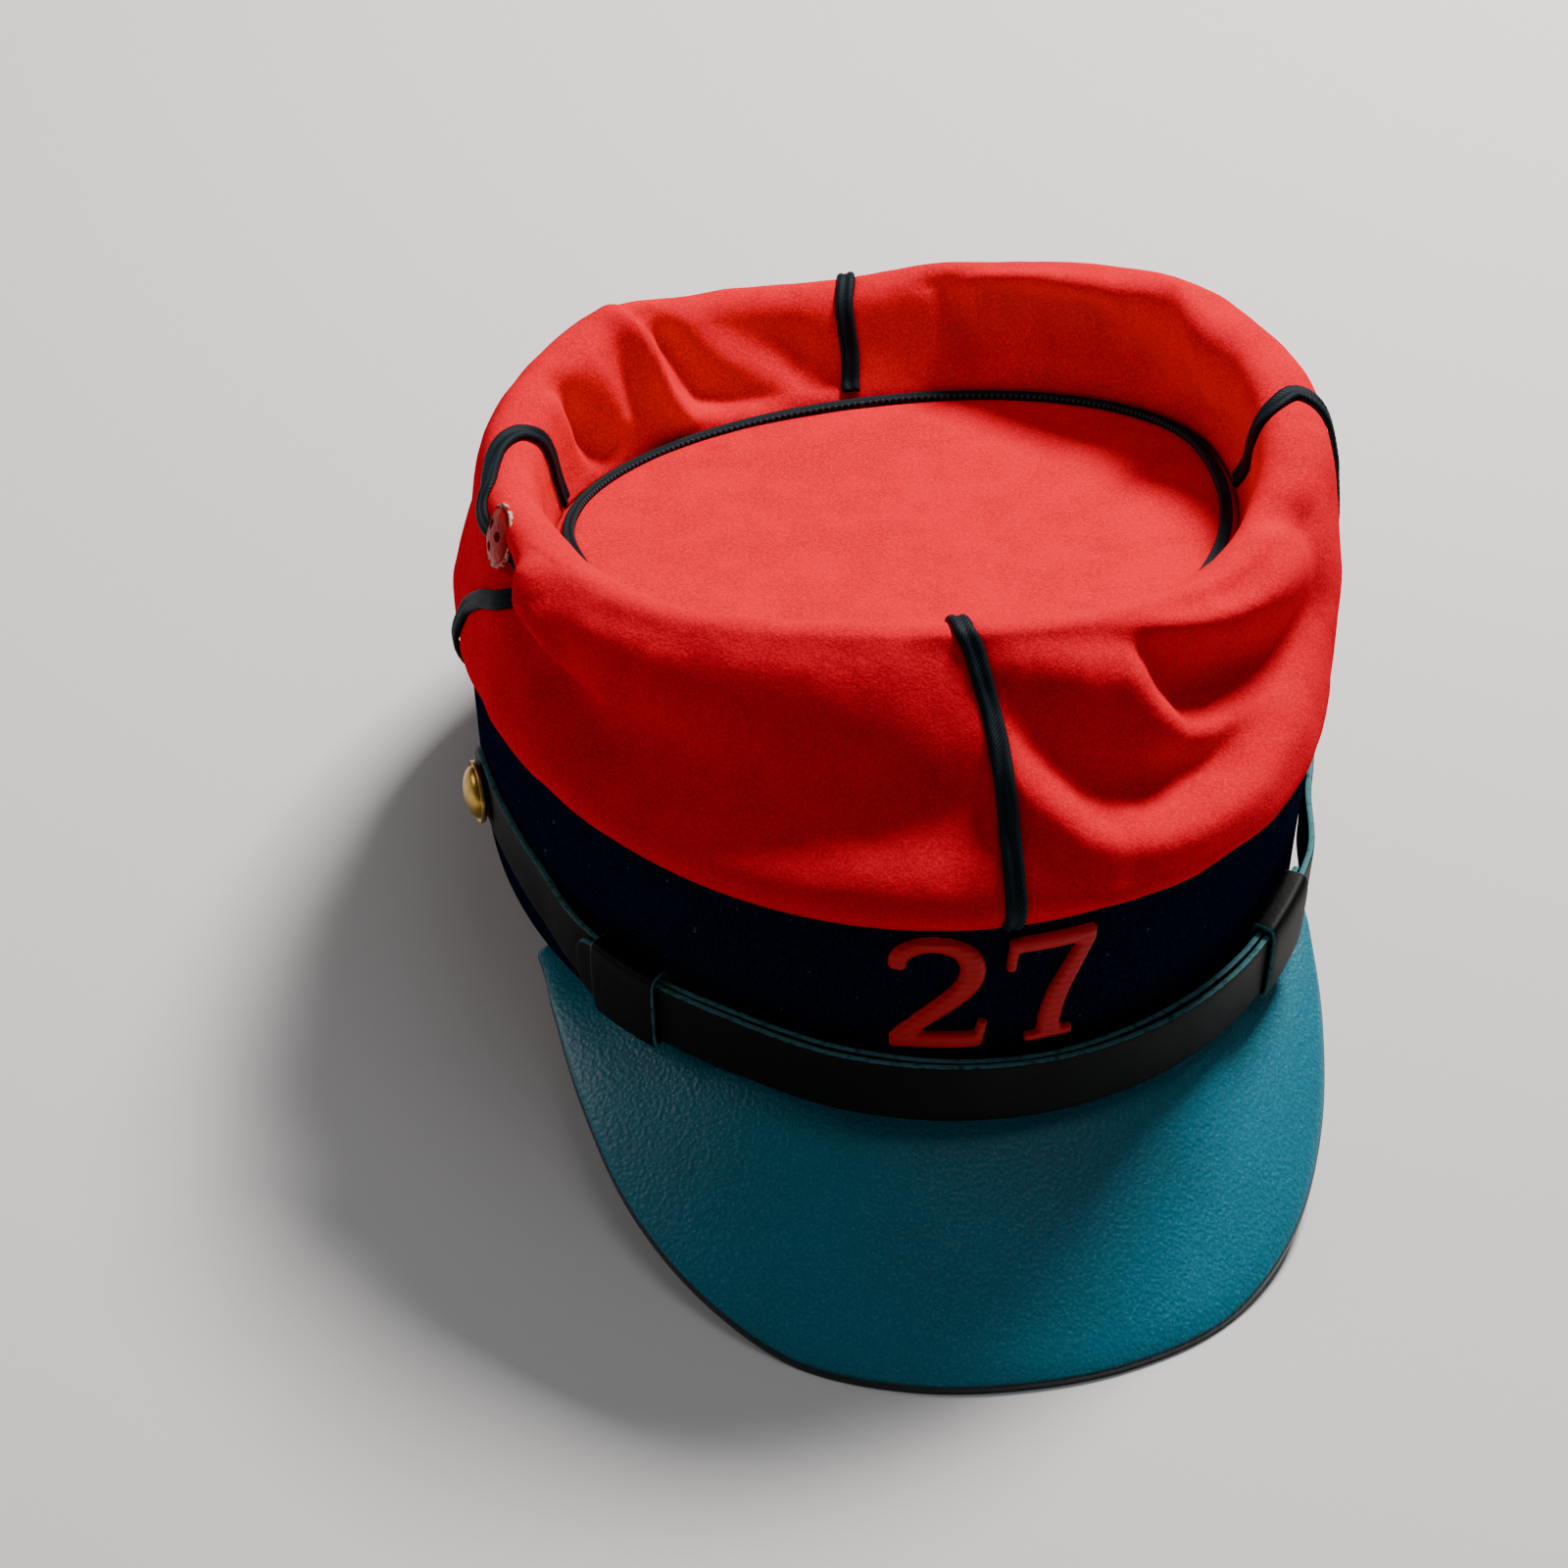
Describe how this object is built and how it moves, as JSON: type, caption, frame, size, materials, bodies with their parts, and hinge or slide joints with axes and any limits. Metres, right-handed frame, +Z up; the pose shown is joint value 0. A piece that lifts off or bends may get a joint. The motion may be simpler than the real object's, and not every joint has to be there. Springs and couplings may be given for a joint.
{
  "type": "kepi cap",
  "caption": "Soft wool kepi with a collapsed red crown, dark braid, stiff dark band with padded numerals, two-layer leather chin strap and leather visor.",
  "frame": {"origin": "on the surface the cap stands on, under the middle of its box", "axes": "+Z up, visor towards -Y, the viewer's right in front of the cap is +X"},
  "size_m": [0.1834, 0.26, 0.1202],
  "materials": {
    "red_wool": "milled wool cloth, matt with a short nap",
    "navy_wool": "dark milled wool cloth, matt",
    "navy_braid": "flat braid with two ridges, slightly glossy",
    "red_thread": "padded satin stitch, soft sheen",
    "strap_leather": "blackened smooth leather, worn satin",
    "visor_leather": "blackened grained leather, satin",
    "brass": "domed stamped brass, dulled",
    "red_paint": "red paint over metal, chipped at its edges"
  },
  "bodies": {
    "root": {"band": "navy_wool", "panel_front_left": "red_wool", "panel_front_right": "red_wool", "panel_back_right": "red_wool", "panel_back_left": "red_wool", "crown_top": "red_wool", "braid_front": "navy_braid", "braid_left": "navy_braid", "braid_right": "navy_braid", "braid_back": "navy_braid", "top_braid": "navy_braid", "vent_grommet": "red_paint", "visor": "visor_leather", "strap_under": "strap_leather", "strap_over": "strap_leather", "slider_left": "strap_leather", "slider_right": "strap_leather", "button_left": "brass", "button_right": "brass", "numeral_two": "red_thread", "numeral_seven": "red_thread"}
  },
  "joints": []
}
